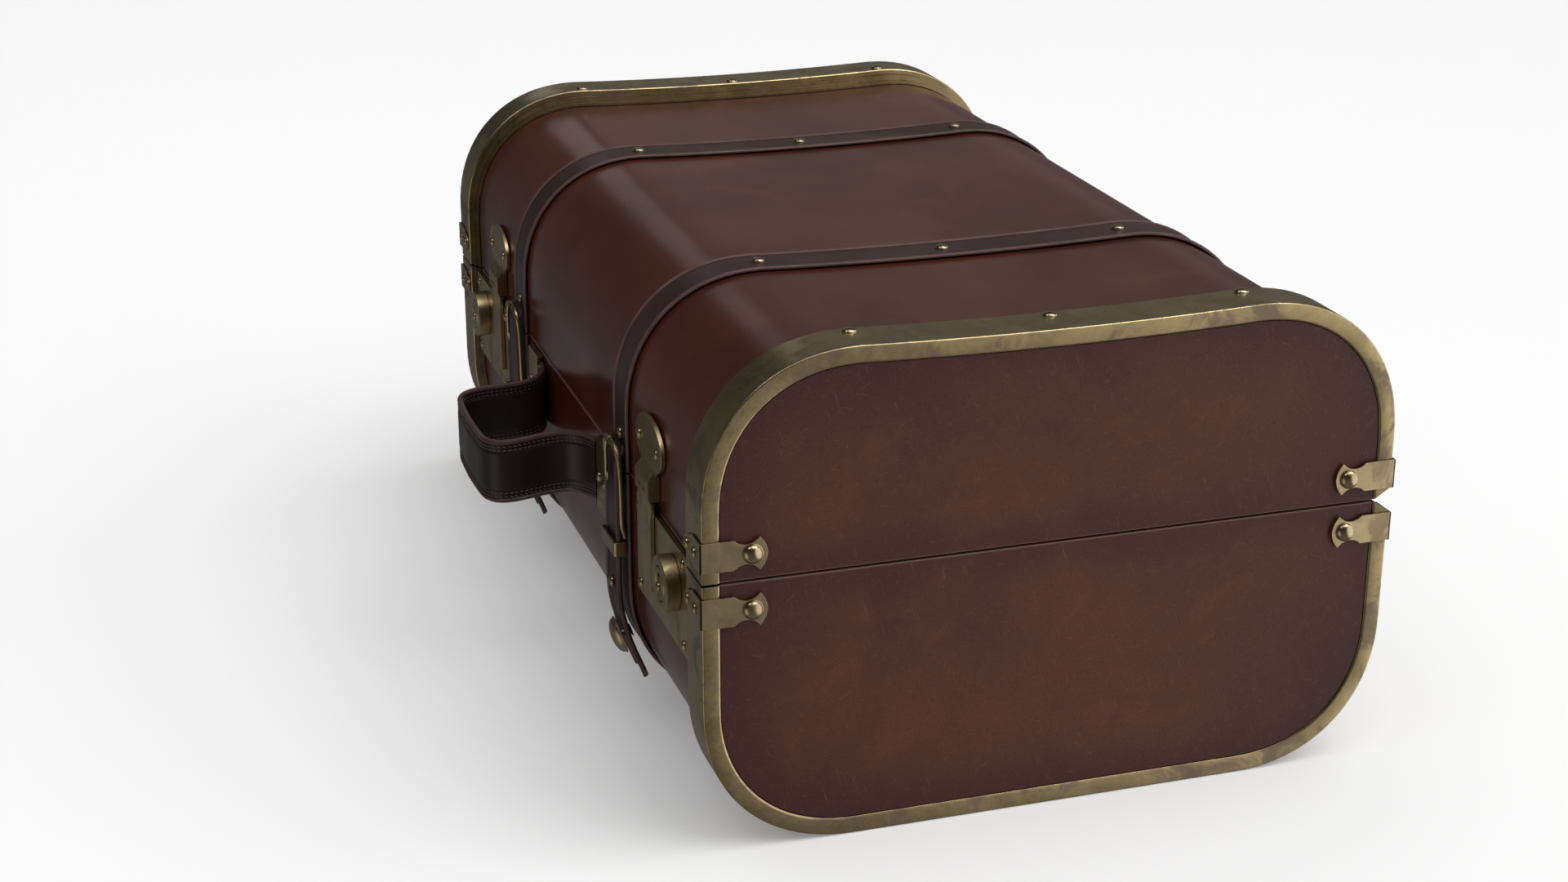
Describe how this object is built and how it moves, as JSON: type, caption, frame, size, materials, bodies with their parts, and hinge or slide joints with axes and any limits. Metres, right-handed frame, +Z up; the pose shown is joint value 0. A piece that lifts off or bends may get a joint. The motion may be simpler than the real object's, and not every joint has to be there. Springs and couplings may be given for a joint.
{
  "type": "leather suitcase trunk",
  "caption": "Leather suitcase trunk lying flat, with brass end frames, hinged lid, buckled straps, hasp locks, corner clips and a stitched loop handle",
  "frame": {"origin": "middle of the bounding box, on the floor that the case lies on", "axes": "+X along the case, +Y from the handle side to the hinge side, +Z up"},
  "size_m": [0.7288, 0.5242, 0.3185],
  "materials": {
    "case_leather": "burnished gloss",
    "end_leather": "burnished gloss",
    "strap_leather": "satin",
    "handle_leather": "satin",
    "frame_brass": "aged satin",
    "fitting_brass": "aged satin",
    "lining": "matt cloth"
  },
  "bodies": {
    "base": {"base_shell": "case_leather", "base_lining": "lining", "base_end_panel_left": "end_leather", "base_end_panel_right": "end_leather", "base_frame_left": "frame_brass", "base_frame_right": "frame_brass", "base_clip_left_front": "fitting_brass", "base_clip_left_back": "fitting_brass", "base_clip_right_front": "fitting_brass", "base_clip_right_back": "fitting_brass", "base_strap_left": "strap_leather", "base_strap_right": "strap_leather", "hinge_base_leaf_1": "fitting_brass", "hinge_base_leaf_2": "fitting_brass", "hinge_base_leaf_3": "fitting_brass", "hinge_pin_1": "fitting_brass", "hinge_pin_2": "fitting_brass", "hinge_pin_3": "fitting_brass", "handle": "handle_leather", "handle_bracket_left": "fitting_brass", "handle_bracket_right": "fitting_brass", "lock_plate_left": "fitting_brass", "lock_plate_right": "fitting_brass", "lock_barrel_left": "fitting_brass", "lock_barrel_right": "fitting_brass", "snap_post_left": "fitting_brass", "snap_post_right": "fitting_brass"},
    "lid": {"lid_shell": "case_leather", "lid_lining": "lining", "lid_end_panel_left": "end_leather", "lid_end_panel_right": "end_leather", "lid_frame_left": "frame_brass", "lid_frame_right": "frame_brass", "lid_clip_left_front": "fitting_brass", "lid_clip_left_back": "fitting_brass", "lid_clip_right_front": "fitting_brass", "lid_clip_right_back": "fitting_brass", "lid_strap_left": "strap_leather", "lid_strap_right": "strap_leather", "hinge_lid_leaf_1": "fitting_brass", "hinge_lid_leaf_2": "fitting_brass", "hinge_lid_leaf_3": "fitting_brass", "hasp_anchor_left": "fitting_brass", "hasp_anchor_right": "fitting_brass"},
    "hasp_arm_left": {"hasp_arm_left": "fitting_brass"},
    "hasp_arm_right": {"hasp_arm_right": "fitting_brass"},
    "lock_plug_left": {"lock_plug_left": "fitting_brass"},
    "lock_plug_right": {"lock_plug_right": "fitting_brass"},
    "strap_tail_left": {"buckle_frame_left": "fitting_brass", "strap_tongue_left": "strap_leather", "strap_keeper_left": "fitting_brass", "strap_stud_left": "fitting_brass"},
    "strap_tail_right": {"buckle_frame_right": "fitting_brass", "strap_tongue_right": "strap_leather", "strap_keeper_right": "fitting_brass", "strap_stud_right": "fitting_brass"},
    "prong_left": {"buckle_prong_left": "fitting_brass"},
    "prong_right": {"buckle_prong_right": "fitting_brass"}
  },
  "joints": [
    {"name": "lid_hinge", "type": "hinge", "parent": "base", "child": "lid", "pos_m": [0, 0.25475, 0.1779], "axis": [-1, 0, 0], "range_deg": [0, 95]},
    {"name": "hasp_swing_left", "type": "hinge", "parent": "lid", "child": "hasp_arm_left", "pos_m": [-0.226, -0.19125, 0.1888], "axis": [-1, 0, 0], "range_deg": [0, 100]},
    {"name": "hasp_swing_right", "type": "hinge", "parent": "lid", "child": "hasp_arm_right", "pos_m": [0.226, -0.19125, 0.1888], "axis": [-1, 0, 0], "range_deg": [0, 100]},
    {"name": "lock_turn_left", "type": "hinge", "parent": "base", "child": "lock_plug_left", "pos_m": [-0.2835, -0.19925, 0.1495], "axis": [0, -1, 0], "range_deg": [0, 90]},
    {"name": "lock_turn_right", "type": "hinge", "parent": "base", "child": "lock_plug_right", "pos_m": [0.2835, -0.19925, 0.1495], "axis": [0, 1, 0], "range_deg": [0, 90]},
    {"name": "strap_tail_swing_left", "type": "hinge", "parent": "lid", "child": "strap_tail_left", "pos_m": [-0.152, -0.19545, 0.1958], "axis": [-1, 0, 0], "range_deg": [0, 90]},
    {"name": "strap_tail_swing_right", "type": "hinge", "parent": "lid", "child": "strap_tail_right", "pos_m": [0.152, -0.19545, 0.1958], "axis": [-1, 0, 0], "range_deg": [0, 90]},
    {"name": "prong_swing_left", "type": "hinge", "parent": "strap_tail_left", "child": "prong_left", "pos_m": [-0.152, -0.19545, 0.1958], "axis": [-1, 0, 0], "range_deg": [0, 90]},
    {"name": "prong_swing_right", "type": "hinge", "parent": "strap_tail_right", "child": "prong_right", "pos_m": [0.152, -0.19545, 0.1958], "axis": [-1, 0, 0], "range_deg": [0, 90]}
  ]
}
